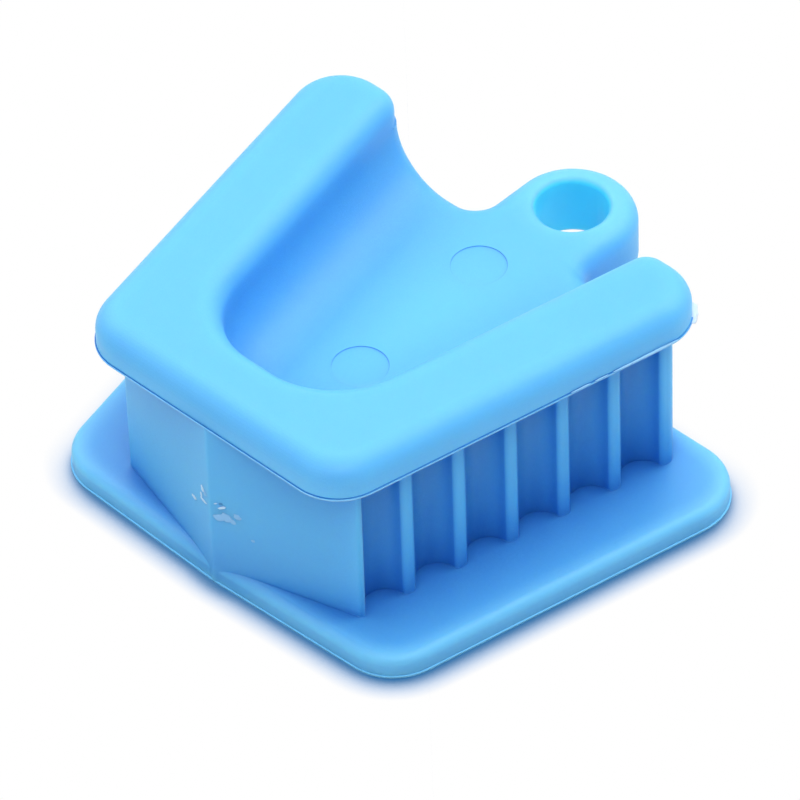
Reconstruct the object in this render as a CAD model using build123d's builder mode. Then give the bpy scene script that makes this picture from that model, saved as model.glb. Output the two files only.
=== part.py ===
from build123d import *
import os
from math import cos, radians, tan

# Dental bite block, moulded as one piece of soft blue plastic.
# Lengths in mm. X runs along the plane of symmetry from the narrow end to
# the holder ring, Z is up from the underside that lies on the table, and the
# piece is centred on its length so that the origin is under its middle.

# Whole piece
body_length = 40.75        # narrow end to the flat back, on the axis
flare = 12.0               # each long side opens by this angle, degrees
top_z = 22.45              # top of the upper flange

# Holder ring for a saliva ejector tube, standing out from the back
bore_r = 3.35
ring_r = 6.0
ring_from_back = 6.2       # bore axis behind the flat back
ring_t = 6.5
ring_edge_r = 1.95         # open end of the recess, ring and its neck
ring_under_r = 1.0         # hidden lower edge of the ring
bore_edge_r = 0.6
neck_fillet_r = 2.2        # ring's neck into the flat back
ring_root = 4.0            # how far the neck is rooted in the body

# Lower guard plate
plate_half_w = 20.77       # half width at the narrow end
plate_t = 2.2
plate_peak = 0.79          # how far the middle of the narrow edge stands out
plate_front_r = 5.4
plate_back_r = 5.6
plate_edge_r = 0.9

# Wall between plate and flange
wall_corner_x = 4.05       # front corners, behind the crease
wall_in = 2.05             # the crests stand back by this much under the flange
corner_r = 0.4
crease_r = 0.8             # fold in the middle of the front
flute_count = 6
flute_first_x = 6.53       # axis of the first flute, behind the crease
flute_last_gap = 3.32      # axis of the last flute, ahead of the turn to the back
land_w = 1.341             # land between two flutes
crest_r = 0.55             # both edges of the lands
tail_run = 3.8             # the side turns to the back this far ahead of it
tail_in = 3.754            # and draws in by this much
tail_r = 1.0

# Flash left by the mould along the lower edges of plate and flange
flash_w = 0.12
flash_t = 0.2

# Upper flange
flange_t = 3.62
flange_over = 0.05         # the arms reach this far past the flat back
flange_half_w = 15.55      # half width at the narrow end
arm_w = 9.15               # width of each arm, across the axis
flange_front_r = 5.0
flange_back_r = 4.9
arm_inner_r = 2.4          # inner corner of each arm's end
flange_edge_r = 2.2

# Recess between the arms
recess_front_x = 7.3
recess_flat = 1.473        # half width of its straight front, between the round corners
recess_depth = 9.05        # floor below the top of the flange
floor_fillet_r = 5.2

# Ejector pin marks in the floor of the recess
mark_r = 2.6
mark_depth = 0.06
mark_front_x = 18.8
mark_from_back = 5.35
mark_front_y = -0.5
mark_back_y = 0.7

# Placing
x_front = -(body_length + ring_from_back + ring_r) / 2
x_back = x_front + body_length
x_ring = x_back + ring_from_back
flange_length = body_length + flange_over
x_tip = x_front + flange_length
flange_under_z = top_z - flange_t
wall_half_w = flange_half_w - wall_in
recess_half_w = flange_half_w - arm_w
floor_z = top_z - recess_depth
slope = tan(radians(flare))


def side(half_width, x):
    """Return the y of a flared side at a distance x from the narrow end."""
    return half_width + slope * x


def on_side(half_width, x):
    """Return the plan point of a flared +Y side at a distance x from the narrow end."""
    return (x_front + x, side(half_width, x))


def is_bore(edge):
    """Return whether an edge is a rim of the bore."""
    return edge.geom_type == GeomType.CIRCLE and abs(edge.radius - bore_r) < 0.01


os.makedirs("parts", exist_ok=True)

# Plan of the lower guard plate
with BuildSketch() as plate_outline:
    with BuildLine():
        Polyline(
            (x_front, 0),
            (x_front + plate_peak, plate_half_w),
            (x_back, side(plate_half_w, body_length)),
            (x_back, 0),
        )
        mirror(about=Plane.XZ)
    make_face()
    fillet(
        plate_outline.vertices().filter_by(
            lambda v: v.X < x_front + plate_peak + 0.01 and abs(v.Y) > 1
        ),
        plate_front_r,
    )
    fillet(
        plate_outline.vertices().filter_by(
            lambda v: v.X > x_back - 0.01 and abs(v.Y) > 1
        ),
        plate_back_r,
    )

# Plan of the wall: creased front, fluted sides, flat back
tail_x = body_length - tail_run
tail_flat = side(wall_half_w, tail_x) - tail_in
flute_pitch = (tail_x - flute_last_gap - flute_first_x) / (flute_count - 1)
flute_r = (flute_pitch / cos(radians(flare)) - land_w) / 2
flute_axes = [
    on_side(wall_half_w, flute_first_x + flute_pitch * number)
    for number in range(flute_count)
]
with BuildSketch() as wall_outline:
    with BuildLine():
        Polyline(
            (x_front, 0),
            on_side(wall_half_w, wall_corner_x),
            on_side(wall_half_w, tail_x),
            (x_back, tail_flat),
            (x_back, 0),
        )
        mirror(about=Plane.XZ)
    make_face()
    fillet(wall_outline.vertices().sort_by(Axis.X)[0], crease_r)
    fillet(wall_outline.vertices().sort_by(Axis.X)[2:4], corner_r)
    fillet(wall_outline.vertices().sort_by(Axis.X)[-4:], tail_r)
    with Locations(*flute_axes, *[(x, -y) for x, y in flute_axes]):
        Circle(flute_r, mode=Mode.SUBTRACT)
    first_land = x_front + flute_first_x
    last_land = x_front + tail_x - tail_r
    fillet(
        wall_outline.vertices().filter_by_position(Axis.X, first_land, last_land),
        crest_r,
    )

# Plan of the recess, carried past the back
reach = body_length + ring_from_back
recess_front_y = side(recess_half_w, recess_front_x)
recess_corner_r = (recess_front_y - recess_flat) * tan(radians(45 + flare / 2))
with BuildSketch() as recess_outline:
    with BuildLine():
        Polyline(
            (x_front + recess_front_x, 0),
            (x_front + recess_front_x, recess_front_y),
            (x_front + reach, side(recess_half_w, reach)),
            (x_front + reach, 0),
        )
        mirror(about=Plane.XZ)
    make_face()
    fillet(
        recess_outline.vertices().filter_by(
            lambda v: v.X < x_front + recess_front_x + 0.01 and abs(v.Y) > 1
        ),
        recess_corner_r,
    )


def flange_plan(inset):
    """Return the plan of the flange, drawn in by inset all round its outside."""
    outer_y = side(flange_half_w, flange_length)
    with BuildSketch() as plan:
        with BuildLine():
            Polyline(
                (x_front, 0),
                (x_front, flange_half_w),
                (x_tip, outer_y),
                (x_tip, 0),
            )
            mirror(about=Plane.XZ)
        make_face()
        fillet(
            plan.vertices().filter_by(lambda v: v.X < x_front + 0.01 and abs(v.Y) > 1),
            flange_front_r,
        )
        fillet(
            plan.vertices().filter_by(lambda v: v.X > x_tip - 0.01 and abs(v.Y) > 1),
            flange_back_r,
        )
        offset(amount=-inset)
        add(recess_outline.sketch, mode=Mode.SUBTRACT)
        inner_y = side(recess_half_w, flange_length) + 0.1
        fillet(
            plan.vertices().filter_by(
                lambda v: v.X > x_tip - inset - 0.01 and abs(v.Y) < inner_y
            ),
            arm_inner_r,
        )
    return plan.sketch


# Upper flange with its rounded upper edge, on its line of flash
with BuildPart() as flange:
    with BuildSketch(Plane.XY.offset(flange_under_z)):
        add(flange_plan(flash_w))
    extrude(amount=top_z - flange_under_z)
    fillet(flange.faces().sort_by(Axis.Z)[-1].edges(), flange_edge_r)
    with BuildSketch(Plane.XY.offset(flange_under_z)):
        add(flange_plan(0))
    extrude(amount=flash_t)

# Holder ring with its neck and rounded lower edge, rooted in the body
with BuildPart() as ring:
    with BuildSketch(Plane.XY.offset(floor_z - ring_t)) as ring_outline:
        with Locations((x_ring, 0)):
            Circle(ring_r)
            Rectangle(ring_from_back + ring_root, 2 * ring_r, align=(Align.MAX, Align.CENTER))
        with Locations((x_back, 0)):
            Rectangle(
                ring_root,
                2 * (ring_r + neck_fillet_r + ring_root),
                align=(Align.MAX, Align.CENTER),
            )
        fillet(
            ring_outline.vertices().filter_by(
                lambda v: abs(v.X - x_back) < 0.01 and abs(v.Y) < ring_r + 0.01
            ),
            neck_fillet_r,
        )
    extrude(amount=ring_t)
    fillet(ring.faces().sort_by(Axis.Z)[0].edges(), ring_under_r)

with BuildPart() as bite_block:
    # Lower guard plate with its rounded upper edge, on its line of flash
    with BuildSketch():
        add(plate_outline.sketch)
        offset(amount=-flash_w)
    extrude(amount=plate_t)
    fillet(bite_block.faces().sort_by(Axis.Z)[-1].edges(), plate_edge_r)
    with BuildSketch():
        add(plate_outline.sketch)
    extrude(amount=flash_t)

    # Wall
    with BuildSketch():
        add(wall_outline.sketch)
    extrude(amount=flange_under_z)

    # Recess between the arms, open at the back, under the level of the flange
    with BuildSketch(Plane.XY.offset(floor_z)):
        add(recess_outline.sketch)
    extrude(amount=flange_under_z - floor_z, mode=Mode.SUBTRACT)

    # Holder ring, level with the floor of the recess
    add(ring.part)

    # Concave sweep from the walls of the recess into its floor
    floor_edges = bite_block.edges().filter_by(
        lambda e: abs(e.center().Z - floor_z) < 0.01
        and e.center().X < x_back - 0.5
        and e.bounding_box().size.Z < 0.01
    )
    fillet(floor_edges, floor_fillet_r)

    # Bore
    with BuildSketch(Plane.XY.offset(floor_z)):
        with Locations((x_ring, 0)):
            Circle(bore_r)
    extrude(amount=-ring_t, mode=Mode.SUBTRACT)

    # Soft edges: open end of the recess with the ring, and the bore
    open_end = bite_block.edges().filter_by(
        lambda e: e.center().Z > floor_z - 0.01
        and e.center().Z < flange_under_z - 0.1
        and e.center().X > x_back - 0.01
        and abs(e.center().Y) < side(recess_half_w, body_length) + 0.01
        and not is_bore(e)
    )
    fillet(open_end, ring_edge_r)
    fillet(bite_block.edges().filter_by(is_bore), bore_edge_r)

    # Upper flange
    add(flange.part)

    # Ejector pin marks
    with BuildSketch(Plane.XY.offset(floor_z)):
        with Locations(
            (x_front + mark_front_x, mark_front_y), (x_back - mark_from_back, mark_back_y)
        ):
            Circle(mark_r)
    extrude(amount=-mark_depth, mode=Mode.SUBTRACT)

    bite_block.part.label = "bite_block"

export_step(bite_block.part, "parts/bite_block.step")
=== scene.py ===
"""Looks of a moulded dental bite block: finish, gate scar, flash, stage, light and camera."""

import logging
from dataclasses import dataclass, field
from enum import Enum
from math import cos, radians, sin, tan

import bmesh
import bpy
from mathutils import Matrix, Vector, noise


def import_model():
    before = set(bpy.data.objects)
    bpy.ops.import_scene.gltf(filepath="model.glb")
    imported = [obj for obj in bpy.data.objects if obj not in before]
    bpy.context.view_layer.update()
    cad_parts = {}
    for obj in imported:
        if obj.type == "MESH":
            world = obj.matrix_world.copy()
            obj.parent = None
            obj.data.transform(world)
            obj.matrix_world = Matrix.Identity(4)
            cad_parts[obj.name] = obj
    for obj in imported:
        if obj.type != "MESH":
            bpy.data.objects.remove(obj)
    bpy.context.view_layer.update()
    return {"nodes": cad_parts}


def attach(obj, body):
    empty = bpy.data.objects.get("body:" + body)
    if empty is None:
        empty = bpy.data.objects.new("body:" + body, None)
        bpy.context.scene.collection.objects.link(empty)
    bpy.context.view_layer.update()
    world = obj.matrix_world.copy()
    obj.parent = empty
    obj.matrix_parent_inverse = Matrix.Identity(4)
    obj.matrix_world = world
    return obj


MM = 0.001

# Narrow end of the block, as in the part's source
FRONT_X_MM = -26.475

# Rays that a point of the moulded skin sends out to find what is close
PROBE_RAYS = 4

# A Mix node's colour sockets share their names with others, so they go by number
MIX_FACTOR = 0
MIX_A = 6
MIX_B = 7
MIX_RESULT = 2

# Flecks: rounds of subdivision, how fine they are torn, and the step from one to the next
FLECK_ROUNDS = 3
TEAR_SCALE = 1.7
TEAR_STEP = 3.1

log = logging.getLogger("bite_block")


class Role(Enum):
    """What a lamp does in the set."""

    TOP = "top"
    KEY = "key"
    RIM = "rim"
    FRONT = "front"
    LOW = "low"
    SIDE = "side"
    FILL = "fill"


def hex_to_linear(code: str) -> tuple[float, float, float, float]:
    """Turn an sRGB hex colour into linear RGBA.

    Args:
        code: Six hex digits, with or without a leading hash.

    Returns:
        Linear red, green, blue and an alpha of one.
    """
    digits = code.lstrip("#")
    parts = [int(digits[i : i + 2], 16) / 255 for i in (0, 2, 4)]
    linear = [p / 12.92 if p <= 0.04045 else ((p + 0.055) / 1.055) ** 2.4 for p in parts]
    return (*linear, 1.0)


def way_to(azimuth: float, elevation: float) -> Vector:
    """Work out the direction of a point above the floor.

    Args:
        azimuth: Degrees from X towards Y.
        elevation: Degrees above the floor.

    Returns:
        Unit vector towards that point.
    """
    az = radians(azimuth)
    el = radians(elevation)
    return Vector((cos(az) * cos(el), sin(az) * cos(el), sin(el)))


def add_node(
    tree: bpy.types.NodeTree,
    kind: str,
    settings: dict | None = None,
    values: dict | None = None,
    links: dict | None = None,
) -> bpy.types.Node:
    """Add a shader node with its settings, socket values and links.

    Args:
        tree: Node tree that gets the node.
        kind: Blender's type name of the node.
        settings: Node properties by name.
        values: Default values of input sockets, by name or index.
        links: Output sockets to join to input sockets, by name or index.

    Returns:
        The new node.
    """
    node = tree.nodes.new(kind)
    for name, value in (settings or {}).items():
        setattr(node, name, value)
    for name, value in (values or {}).items():
        node.inputs[name].default_value = value
    for name, socket in (links or {}).items():
        tree.links.new(socket, node.inputs[name])
    return node


def empty_material(name: str) -> bpy.types.Material:
    """Make a material without any node.

    Args:
        name: Name of the material.

    Returns:
        The material.
    """
    material = bpy.data.materials.new(name)
    material.use_nodes = True
    material.node_tree.nodes.clear()
    return material


def add_piece(
    name: str, shape: bmesh.types.BMesh, material: bpy.types.Material
) -> bpy.types.Object:
    """Put a finished shape into the scene.

    Args:
        name: Name of the piece.
        shape: Its mesh, which is freed.
        material: Its material.

    Returns:
        The piece, at the origin.
    """
    mesh = bpy.data.meshes.new(name)
    shape.to_mesh(mesh)
    shape.free()
    mesh.materials.append(material)
    piece = bpy.data.objects.new(name, mesh)
    bpy.context.scene.collection.objects.link(piece)
    return piece


@dataclass(frozen=True)
class MouldedSilicone:
    """Dyed silicone rubber from a bead-blasted mould.

    The eye gets a semi-matte, faintly translucent blue with soft edges. Painted shade makes
    the blue stronger in the folds; painted light makes it lighter along the thin rims that
    light gets into, and more cyan in the bore, where light comes through the ring's thin wall.
    """

    name: str = "sky_blue_moulded_silicone"
    colour: str = "#60bffd"
    roughness: float = 0.45
    ior: float = 1.43

    # Light that wanders under the skin, from none in a film of flash to all in the body
    scatter_weight: float = 0.8
    scatter_mm: float = 1.8
    scatter_rgb: tuple[float, float, float] = (1.0, 1.0, 1.0)
    film_range: tuple[float, float] = (0.15, 0.4)

    # Painted shade in the folds: the reach of the test, its lean to the open back, and closed
    # to open
    fold_shade_colour: str = "#066ac4"
    fold_shade_mm: float = 12.0
    fold_shade_lean: tuple[float, float, float] = (0.5, 0.0, 0.15)
    fold_shade_range: tuple[float, float] = (0.36, 0.97)

    # Painted light along the thin rims of plate, flange and ring, from thin to solid
    rim_light_colour: str = "#7ed2ff"
    rim_mm: float = 2.4
    rim_light_range: tuple[float, float] = (0.4, 0.82)

    # The wall between plate and flange, whose lands and corners get no painted rim light
    wall_mid_mm: float = 10.7
    wall_half_mm: float = 8.4
    wall_end_mm: float = 14.5

    # Painted light in the bore, by the distance from its axis
    bore_light_colour: str = "#5adeff"
    bore_x_mm: float = 20.475
    bore_light_range_mm: tuple[float, float] = (3.38, 3.6)

    def make(self) -> bpy.types.Material:
        """Return the material."""
        material = empty_material(self.name)
        tree = material.node_tree
        place = add_node(tree, "ShaderNodeTexCoord").outputs["Object"]
        thickness = self.thickness(tree)
        fold_shaded = self.paint_fold_shade(tree)
        rim_lit = self.paint_rim_light(tree, fold_shaded, thickness, place)
        film, solid = self.film_range
        scatter = add_node(
            tree,
            "ShaderNodeMapRange",
            values={"From Min": film, "From Max": solid, "To Max": self.scatter_weight},
            links={"Value": thickness},
        )
        shader = add_node(
            tree,
            "ShaderNodeBsdfPrincipled",
            values={
                "Roughness": self.roughness,
                "IOR": self.ior,
                "Subsurface Radius": self.scatter_rgb,
                "Subsurface Scale": self.scatter_mm * MM,
            },
            links={
                "Base Color": self.paint_bore_light(tree, rim_lit, place),
                "Subsurface Weight": scatter.outputs[0],
            },
        )
        add_node(tree, "ShaderNodeOutputMaterial", links={"Surface": shader.outputs["BSDF"]})
        return material

    def thickness(self, tree: bpy.types.NodeTree) -> bpy.types.NodeSocket:
        """Add the measure of how thick the rubber is under its skin.

        Args:
            tree: Node tree that gets the node.

        Returns:
            Socket that is low in thin edges and one in the solid body.
        """
        probe = add_node(
            tree,
            "ShaderNodeAmbientOcclusion",
            {"samples": PROBE_RAYS, "inside": True, "only_local": True},
            {"Distance": self.rim_mm * MM},
        )
        return probe.outputs["AO"]

    def paint_fold_shade(self, tree: bpy.types.NodeTree) -> bpy.types.NodeSocket:
        """Add the colour with painted shade, a stronger and darker blue in its folds.

        Args:
            tree: Node tree that gets the nodes.

        Returns:
            Socket with the colour.
        """
        face = add_node(tree, "ShaderNodeNewGeometry")
        leaned = add_node(
            tree,
            "ShaderNodeVectorMath",
            {"operation": "ADD"},
            {1: self.fold_shade_lean},
            {0: face.outputs["Normal"]},
        )
        outward = add_node(
            tree,
            "ShaderNodeVectorMath",
            {"operation": "NORMALIZE"},
            links={0: leaned.outputs[0]},
        )
        closeness = add_node(
            tree,
            "ShaderNodeAmbientOcclusion",
            {"samples": PROBE_RAYS},
            {"Distance": self.fold_shade_mm * MM},
            {"Normal": outward.outputs[0]},
        )
        closed, opened = self.fold_shade_range
        openness = add_node(
            tree,
            "ShaderNodeMapRange",
            values={"From Min": closed, "From Max": opened},
            links={"Value": closeness.outputs["AO"]},
        )
        # Painted shade: the fold colour where the leaned occlusion test finds the folds closed
        fold_shaded = add_node(
            tree,
            "ShaderNodeMix",
            {"data_type": "RGBA"},
            {MIX_A: hex_to_linear(self.fold_shade_colour), MIX_B: hex_to_linear(self.colour)},
            {MIX_FACTOR: openness.outputs[0]},
        )
        return fold_shaded.outputs[MIX_RESULT]

    def on_wall(
        self, tree: bpy.types.NodeTree, place: bpy.types.NodeSocket
    ) -> bpy.types.NodeSocket:
        """Add the test for the wall between plate and flange, short of the ring, which the
        painted rim light leaves out.

        Args:
            tree: Node tree that gets the nodes.
            place: Socket with the point on the block.

        Returns:
            Socket that is one on the wall and zero elsewhere.
        """
        point = add_node(tree, "ShaderNodeSeparateXYZ", links={0: place})
        between = add_node(
            tree,
            "ShaderNodeMath",
            {"operation": "COMPARE"},
            {1: self.wall_mid_mm * MM, 2: self.wall_half_mm * MM},
            {0: point.outputs["Z"]},
        )
        ahead = add_node(
            tree,
            "ShaderNodeMath",
            {"operation": "LESS_THAN"},
            {1: self.wall_end_mm * MM},
            {0: point.outputs["X"]},
        )
        both = add_node(
            tree,
            "ShaderNodeMath",
            {"operation": "MULTIPLY"},
            links={0: between.outputs[0], 1: ahead.outputs[0]},
        )
        return both.outputs[0]

    def paint_rim_light(
        self,
        tree: bpy.types.NodeTree,
        colour: bpy.types.NodeSocket,
        thickness: bpy.types.NodeSocket,
        place: bpy.types.NodeSocket,
    ) -> bpy.types.NodeSocket:
        """Add painted light, a lighter blue along the thin rims, to a colour.

        Args:
            tree: Node tree that gets the nodes.
            colour: Socket with the colour.
            thickness: Socket that is low in thin edges.
            place: Socket with the point on the block.

        Returns:
            Socket with the new colour.
        """
        thin, solid = self.rim_light_range
        thick = add_node(
            tree,
            "ShaderNodeMapRange",
            values={"From Min": thin, "From Max": solid},
            links={"Value": thickness},
        )
        plain = add_node(
            tree,
            "ShaderNodeMath",
            {"operation": "MAXIMUM"},
            links={0: thick.outputs[0], 1: self.on_wall(tree, place)},
        )
        # Painted light: the rim colour where the rubber is thin, except on the wall
        rim_lit = add_node(
            tree,
            "ShaderNodeMix",
            {"data_type": "RGBA"},
            {MIX_A: hex_to_linear(self.rim_light_colour)},
            {MIX_FACTOR: plain.outputs[0], MIX_B: colour},
        )
        return rim_lit.outputs[MIX_RESULT]

    def paint_bore_light(
        self,
        tree: bpy.types.NodeTree,
        colour: bpy.types.NodeSocket,
        place: bpy.types.NodeSocket,
    ) -> bpy.types.NodeSocket:
        """Add painted light to a colour: the cyan of light that comes through the ring's thin
        wall, on the bore.

        Args:
            tree: Node tree that gets the nodes.
            colour: Socket with the colour.
            place: Socket with the point on the block.

        Returns:
            Socket with the new colour.
        """
        around = add_node(
            tree,
            "ShaderNodeMapping",
            values={"Location": (-self.bore_x_mm * MM, 0, 0), "Scale": (1, 1, 0)},
            links={"Vector": place},
        )
        distance = add_node(
            tree, "ShaderNodeVectorMath", {"operation": "LENGTH"}, links={0: around.outputs[0]}
        )
        inner, outer = self.bore_light_range_mm
        near = add_node(
            tree,
            "ShaderNodeMapRange",
            values={"From Min": inner * MM, "From Max": outer * MM, "To Min": 1, "To Max": 0},
            links={"Value": distance.outputs["Value"]},
        )
        # Painted light: the bore's wall turns cyan close to the bore's radius
        bore_lit = add_node(
            tree,
            "ShaderNodeMix",
            {"data_type": "RGBA"},
            {MIX_B: hex_to_linear(self.bore_light_colour)},
            {MIX_FACTOR: near.outputs[0], MIX_A: colour},
        )
        return bore_lit.outputs[MIX_RESULT]


@dataclass
class Moulding:
    """The one-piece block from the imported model."""

    node: bpy.types.Object
    finish: MouldedSilicone = field(default_factory=MouldedSilicone)

    def dress(self) -> None:
        """Give the block its finish."""
        self.node.data.materials.clear()
        self.node.data.materials.append(self.finish.make())
        log.info("%s dressed", self.node.name)


@dataclass(frozen=True)
class TornSilicone:
    """Silicone that tore when the runner and the flash were pulled off.

    The eye gets ragged flecks, whitened by the stretching and duller than the moulded skin. A
    dark one stands as painted shade in a pit.
    """

    name: str
    colour: str
    roughness: float = 0.6

    def make(self) -> bpy.types.Material:
        """Return the material."""
        material = empty_material(self.name)
        tree = material.node_tree
        shader = add_node(
            tree,
            "ShaderNodeBsdfPrincipled",
            values={"Base Color": hex_to_linear(self.colour), "Roughness": self.roughness},
        )
        add_node(tree, "ShaderNodeOutputMaterial", links={"Surface": shader.outputs["BSDF"]})
        return material


@dataclass(frozen=True)
class Fleck:
    """A ragged lens half sunk in an upright face.

    The size runs along the face, up it and out of it; the turn is about the face's normal.
    """

    place_mm: tuple[float, float, float]
    facing: float
    size_mm: tuple[float, float, float]
    turn: float = 0.0
    ragged: float = 0.35

    def add_to(self, shape: bmesh.types.BMesh, number: int) -> None:
        """Add the fleck to a mesh.

        Args:
            shape: Mesh that gets the fleck.
            number: Its place in the row, so that no two are torn alike.
        """
        lens = bmesh.ops.create_icosphere(shape, subdivisions=FLECK_ROUNDS, radius=1.0)
        step = Vector((number * TEAR_STEP, 0, 0))
        for point in lens["verts"]:
            point.co *= 1 + self.ragged * noise.noise(point.co * TEAR_SCALE + step)
        along, across, rise = (length * MM for length in self.size_mm)
        flat = Matrix.Diagonal((along / 2, across / 2, rise, 1))
        turned = Matrix.Rotation(radians(self.turn), 4, "Z")
        upright = Matrix(((0, 0, 1, 0), (1, 0, 0, 0), (0, 1, 0, 0), (0, 0, 0, 1)))
        faced = Matrix.Rotation(radians(self.facing), 4, "Z")
        moved = Matrix.Translation(Vector(self.place_mm) * MM)
        placed = moved @ faced @ upright @ turned @ flat
        bmesh.ops.transform(shape, matrix=placed, verts=lens["verts"])


def build_flecks(name: str, flecks: list[Fleck], finish: TornSilicone) -> None:
    """Build flecks of one finish as one piece that rides on the block.

    Args:
        name: Name of the piece.
        flecks: The flecks.
        finish: Their finish.
    """
    shape = bmesh.new()
    for number, fleck in enumerate(flecks):
        fleck.add_to(shape, number)
    bmesh.ops.recalc_face_normals(shape, faces=shape.faces)
    for face in shape.faces:
        face.smooth = True
    piece = add_piece(name, shape, finish.make())
    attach(piece, "root")
    log.info("%s built", name)


@dataclass
class GateScar:
    """Where the runner was torn off, in the middle of the creased front wall.

    Each mark is its y and z, its size along the wall, up it and out of it, and its turn.
    The wall falls back from the crease by the lean, and each half is turned from it.
    """

    lean: float = 0.282
    fold_turn: float = 16.0
    shreds: tuple[tuple[float, ...], ...] = (
        (1.01, 10.69, 0.75, 0.40, 0.10, -64),
        (1.30, 9.75, 0.65, 0.32, 0.06, -80),
        (2.62, 8.28, 0.90, 0.40, 0.08, 3),
        (0.95, 9.30, 1.20, 0.28, 0.08, 0),
        (-0.65, 10.00, 0.40, 0.14, 0.05, 30),
        (-1.27, 9.75, 0.95, 0.26, 0.13, 30),
    )
    torn: tuple[tuple[float, ...], ...] = (
        (0.60, 10.42, 0.60, 0.50, 0.06, 20),
        (-0.98, 8.42, 1.40, 0.80, 0.05, 25),
        (-1.68, 8.72, 1.25, 1.00, 0.06, -28),
        (-2.25, 8.45, 0.65, 0.50, 0.05, -40),
        (-2.72, 9.25, 0.80, 0.65, 0.04, -20),
        (-4.13, 6.95, 0.40, 0.28, 0.04, 0),
    )
    # A dark fleck of painted shade where the gate left a small pit
    pit_shade_marks: tuple[tuple[float, ...], ...] = ((-1.16, 10.16, 0.45, 0.24, 0.03, 20),)
    white: TornSilicone = TornSilicone("stretch_whitened_torn_silicone", "#bfe2fd")
    pale: TornSilicone = TornSilicone("torn_open_silicone", "#88c4f5")
    # Painted shade of the pit
    pit_shade_finish: TornSilicone = TornSilicone("painted_pit_shade_silicone", "#3f8fcf")

    def place(self, marks: tuple[tuple[float, ...], ...]) -> list[Fleck]:
        """Lay marks on the two halves of the wall.

        Args:
            marks: The marks.

        Returns:
            The marks as flecks.
        """
        flecks = []
        for y, z, along, across, rise, turn in marks:
            facing = 180 - self.fold_turn if y > 0 else 180 + self.fold_turn
            spot = (FRONT_X_MM + self.lean * abs(y), y, z)
            flecks.append(Fleck(spot, facing, (along, across, rise), turn))
        return flecks

    def build(self) -> None:
        """Build the shreds, the torn skin, and a dark fleck of painted shade in the pit."""
        build_flecks("gate_shreds", self.place(self.shreds), self.white)
        build_flecks("gate_torn_skin", self.place(self.torn), self.pale)
        build_flecks("gate_pit_shade", self.place(self.pit_shade_marks), self.pit_shade_finish)


@dataclass
class FlashFlecks:
    """What is left of the flash along the lower edge of the right arm.

    Each fleck is its distance from the narrow end, and its size along, up and out of the edge.
    """

    half_w_mm: float = 15.55
    flare: float = 12.0
    z_mm: float = 19.08
    flecks: tuple[tuple[float, ...], ...] = (
        (25.6, 2.2, 0.12, 0.07),
        (27.6, 1.6, 0.10, 0.06),
        (30.0, 2.4, 0.14, 0.09),
        (31.4, 1.8, 0.16, 0.10),
        (32.6, 2.2, 0.18, 0.10),
        (34.2, 3.2, 0.22, 0.10),
    )
    flake: Fleck = Fleck((12.85, -21.6, 18.95), -45.0, (2.8, 0.22, 0.45))
    trimmed: TornSilicone = TornSilicone("trimmed_flash_silicone", "#98d4fb")
    thin: TornSilicone = TornSilicone("thin_flash_silicone", "#d6e8f8")

    def build(self) -> None:
        """Build the flecks along the edge and the flake at the arm's end."""
        row = []
        for distance, along, across, out in self.flecks:
            y = -(self.half_w_mm + tan(radians(self.flare)) * distance)
            spot = (FRONT_X_MM + distance, y, self.z_mm)
            row.append(Fleck(spot, -90 - self.flare, (along, across, out)))
        build_flecks("arm_flash", row, self.trimmed)
        build_flecks("arm_flake", [self.flake], self.thin)


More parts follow.
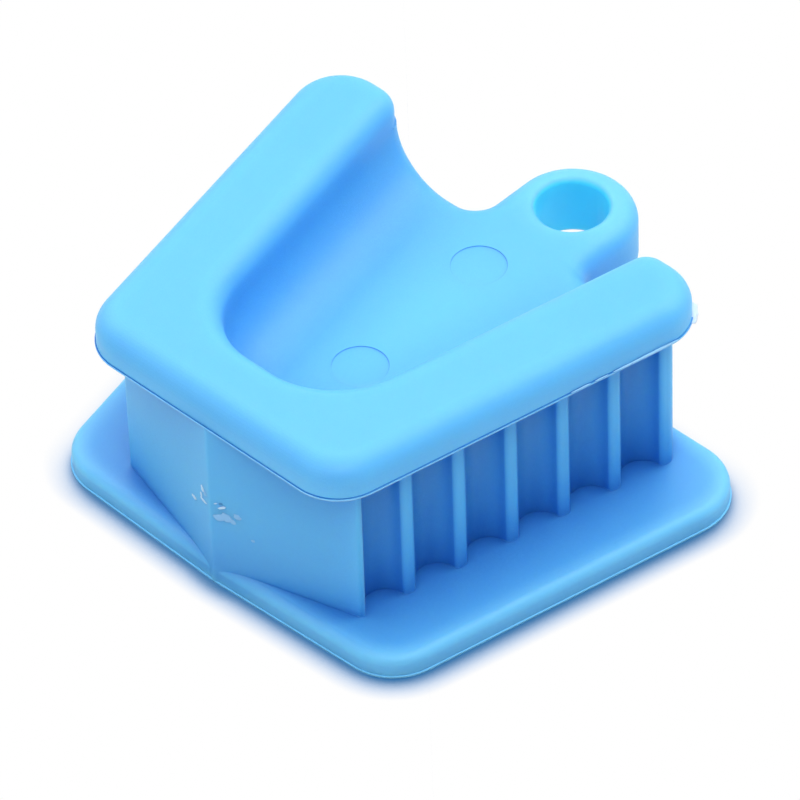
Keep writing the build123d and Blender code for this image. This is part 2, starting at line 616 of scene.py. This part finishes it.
@dataclass
class Stage:
    """White paper that the block lies on, and the white around it.

    The shade is a painted shadow: it runs from the paper under the block's edge to the
    open paper, and is deepest on the side away from where the light comes from.
    """

    size_mm: float = 6000.0
    bounce: float = 0.88
    shade_mm: float = 2.8
    shade_from: tuple[float, float, float] = (0.45, 0.45, 0.77)
    shade: tuple[tuple[float, str], ...] = (
        (0.34, "#2d6eac"),
        (0.45, "#3b77ac"),
        (0.55, "#6a92bd"),
        (0.64, "#9cb9dd"),
        (0.73, "#c6d7ee"),
        (0.83, "#e6eefb"),
        (1.00, "#ffffff"),
    )

    def build(self) -> None:
        """Build the floor and the world."""
        shape = bmesh.new()
        bmesh.ops.create_grid(shape, x_segments=1, y_segments=1, size=self.size_mm * MM / 2)
        floor = add_piece("floor", shape, self.paper())
        self.light_world()
        log.info("floor and world set")

    def seen_rays(self, tree: bpy.types.NodeTree) -> bpy.types.NodeSocket:
        """Add the test for rays that show the white itself.

        Args:
            tree: Node tree that gets the nodes.

        Returns:
            Socket that is one for camera, glossy and transmitted rays.
        """
        path = add_node(tree, "ShaderNodeLightPath")
        mirrored = add_node(
            tree,
            "ShaderNodeMath",
            {"operation": "MAXIMUM"},
            links={0: path.outputs["Is Camera Ray"], 1: path.outputs["Is Glossy Ray"]},
        )
        seen = add_node(
            tree,
            "ShaderNodeMath",
            {"operation": "MAXIMUM"},
            links={0: mirrored.outputs[0], 1: path.outputs["Is Transmission Ray"]},
        )
        return seen.outputs[0]

    def paper(self) -> bpy.types.Material:
        """Return white paper: burnt out to white, with a painted shadow in blue-grey where the
        block lies close.
        """
        material = empty_material("matt_white_paper")
        tree = material.node_tree
        lit_from = add_node(
            tree, "ShaderNodeCombineXYZ", values=dict(enumerate(self.shade_from))
        )
        closeness = add_node(
            tree,
            "ShaderNodeAmbientOcclusion",
            values={"Distance": self.shade_mm * MM},
            links={"Normal": lit_from.outputs[0]},
        )
        # Painted shadow: blue-grey to white by how closely the block hems in the paper, leaned
        # to the light
        ramp = add_node(tree, "ShaderNodeValToRGB", links={"Fac": closeness.outputs["AO"]})
        stops = ramp.color_ramp.elements
        while len(stops) < len(self.shade):
            stops.new(1.0)
        for stop, (place, colour) in zip(stops, self.shade):
            stop.position = place
            stop.color = hex_to_linear(colour)
        white = add_node(tree, "ShaderNodeEmission", links={"Color": ramp.outputs["Color"]})
        sent = add_node(
            tree,
            "ShaderNodeBsdfDiffuse",
            values={"Color": (self.bounce, self.bounce, self.bounce, 1.0)},
        )
        mix = add_node(
            tree,
            "ShaderNodeMixShader",
            links={0: self.seen_rays(tree), 1: sent.outputs[0], 2: white.outputs[0]},
        )
        add_node(tree, "ShaderNodeOutputMaterial", links={"Surface": mix.outputs[0]})
        return material

    def light_world(self) -> None:
        """Make the world white to the eye and dark as a light."""
        world = bpy.data.worlds.new("white_room")
        bpy.context.scene.world = world
        world.use_nodes = True
        tree = world.node_tree
        tree.nodes.clear()
        white = add_node(tree, "ShaderNodeBackground", values={"Color": (1, 1, 1, 1)})
        dark = add_node(tree, "ShaderNodeBackground", values={"Strength": 0.0})
        mix = add_node(
            tree,
            "ShaderNodeMixShader",
            links={0: self.seen_rays(tree), 1: dark.outputs[0], 2: white.outputs[0]},
        )
        add_node(tree, "ShaderNodeOutputWorld", links={"Surface": mix.outputs[0]})


@dataclass
class Softbox:
    """A square soft lamp that points at the block."""

    role: Role
    azimuth: float
    elevation: float
    size_mm: float
    watts: float
    distance_mm: float = 700.0

    def build(self) -> None:
        """Add the lamp to the scene."""
        data = bpy.data.lights.new(f"{self.role.value}_softbox", "AREA")
        data.shape = "SQUARE"
        data.size = self.size_mm * MM
        data.energy = self.watts
        lamp = bpy.data.objects.new(data.name, data)
        way = way_to(self.azimuth, self.elevation)
        lamp.location = way * self.distance_mm * MM
        lamp.rotation_euler = way.to_track_quat("Z", "Y").to_euler()
        bpy.context.scene.collection.objects.link(lamp)
        log.info("%s lamp set", self.role.value)


@dataclass
class ViewCamera:
    """Long lens at the photograph's viewing angle."""

    azimuth: float = 225.01
    elevation: float = 43.76
    roll: float = 2.0
    aim_mm: tuple[float, float, float] = (-6.687, -4.330, 11.0)
    distance_mm: float = 708.25
    lens_mm: float = 360.0
    sensor_mm: float = 36.0
    near_mm: float = 10.0

    def build(self) -> None:
        """Add the camera and make it the scene's own."""
        back = way_to(self.azimuth, self.elevation)
        az = radians(self.azimuth)
        right = Vector((-sin(az), cos(az), 0))
        up = back.cross(right)
        roll = radians(self.roll)
        x_axis = cos(roll) * right - sin(roll) * up
        y_axis = sin(roll) * right + cos(roll) * up
        data = bpy.data.cameras.new("view")
        data.lens = self.lens_mm
        data.sensor_width = self.sensor_mm
        data.clip_start = self.near_mm * MM
        camera = bpy.data.objects.new("view", data)
        place = (Vector(self.aim_mm) + back * self.distance_mm) * MM
        turn = Matrix((x_axis, y_axis, back)).transposed().to_4x4()
        camera.matrix_world = Matrix.Translation(place) @ turn
        bpy.context.scene.collection.objects.link(camera)
        bpy.context.scene.camera = camera
        log.info("camera set")


def main() -> None:
    """Build the scene in order and note each piece in the log."""
    logging.basicConfig(level=logging.INFO, format="%(message)s")
    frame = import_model()
    bpy.context.scene.view_settings.view_transform = "Standard"

    Moulding(frame["nodes"]["bite_block"]).dress()
    GateScar().build()
    FlashFlecks().build()

    Stage().build()
    lamps = (
        Softbox(Role.TOP, azimuth=45, elevation=88, size_mm=1000, watts=2.65, distance_mm=600),
        Softbox(Role.KEY, azimuth=55, elevation=55, size_mm=800, watts=2.2),
        Softbox(Role.RIM, azimuth=333, elevation=45, size_mm=500, watts=2.3),
        Softbox(Role.FRONT, azimuth=228, elevation=56, size_mm=500, watts=1.65),
        Softbox(Role.LOW, azimuth=193, elevation=20, size_mm=500, watts=0.36),
        Softbox(Role.SIDE, azimuth=150, elevation=25, size_mm=500, watts=0.4),
        Softbox(Role.FILL, azimuth=105, elevation=35, size_mm=500, watts=0.85),
    )
    for lamp in lamps:
        lamp.build()
    ViewCamera().build()


if __name__ == "__main__":
    main()
